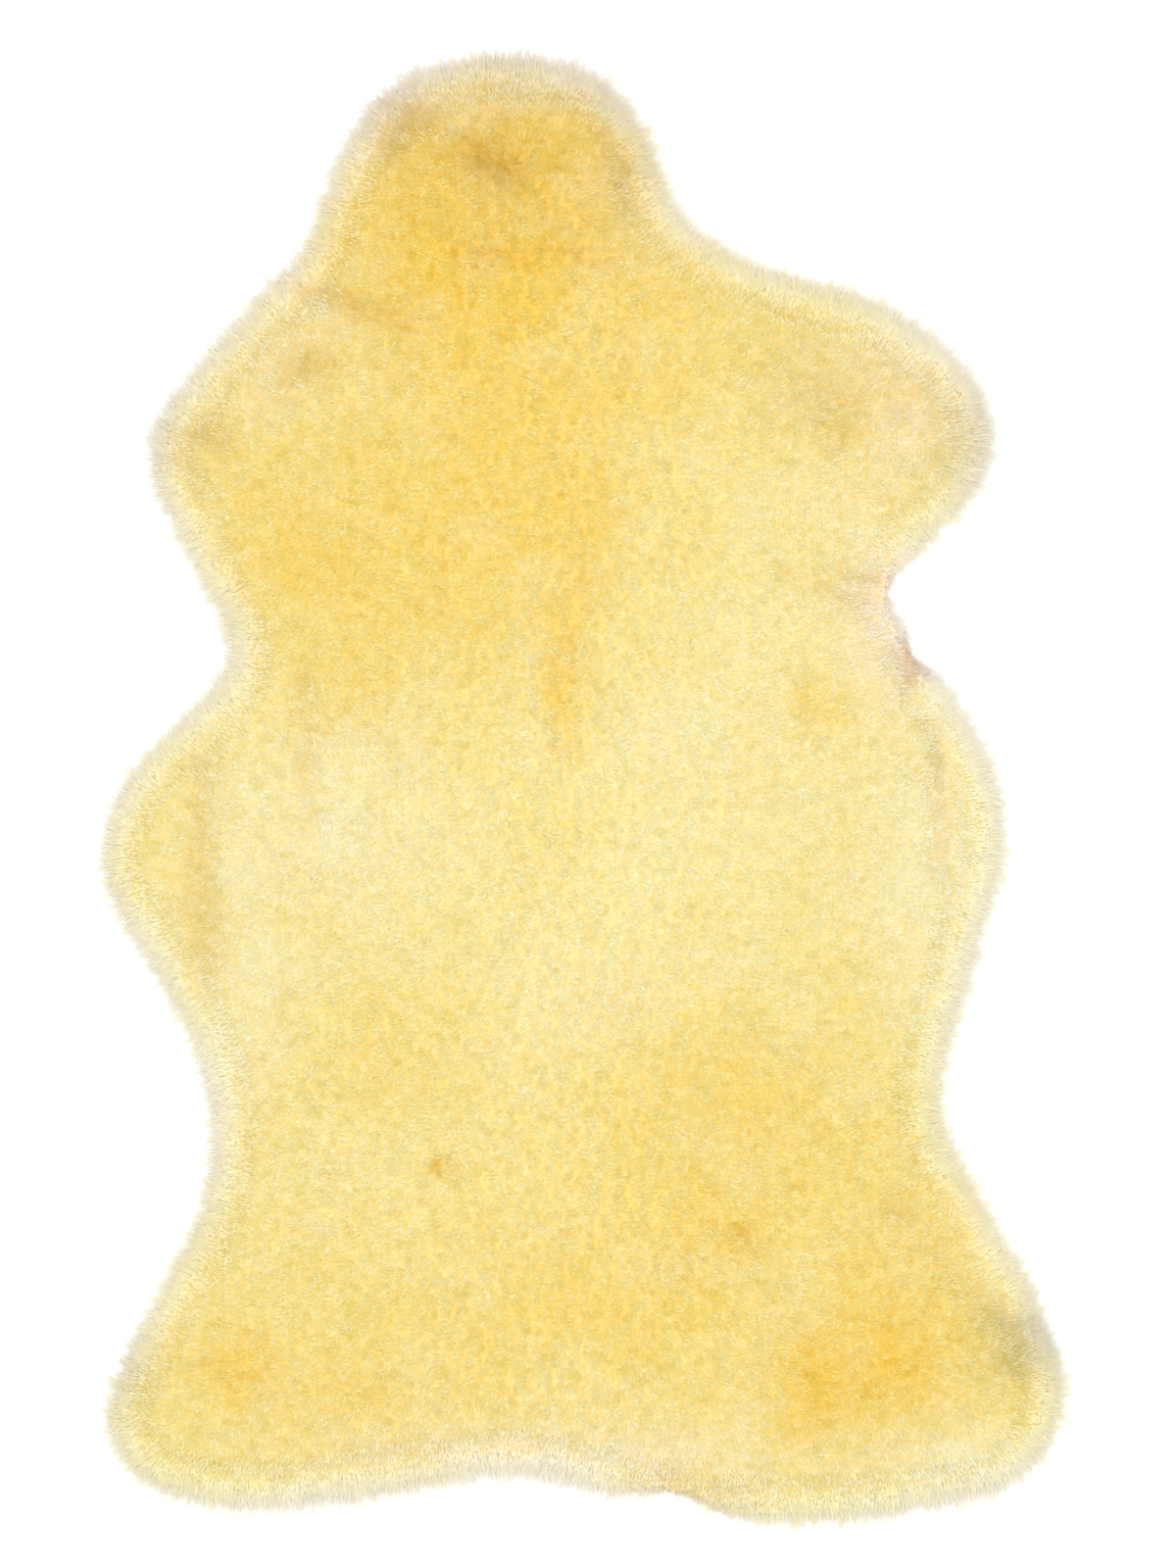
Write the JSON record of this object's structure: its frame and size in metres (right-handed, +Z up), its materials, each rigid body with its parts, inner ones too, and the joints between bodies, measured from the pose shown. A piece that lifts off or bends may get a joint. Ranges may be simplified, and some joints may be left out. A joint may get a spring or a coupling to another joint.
{
  "type": "medical sheepskin",
  "caption": "Whole natural sheepskin laid flat, a thin tanned hide with dense shorn wool on top, used as a soft pressure-relief pad.",
  "frame": {"origin": "middle of the skin's box, on the underside of the hide", "axes": "+Z up out of the wool, +Y along the backbone towards the head, +X to the right as seen from above"},
  "size_m": [0.6262, 0.95, 0.0367],
  "materials": {
    "wool": "dense shorn wool, golden cream, matte",
    "hide": "tanned suede flesh side, matte"
  },
  "bodies": {
    "root": {"sheepskin": "wool"}
  },
  "joints": []
}
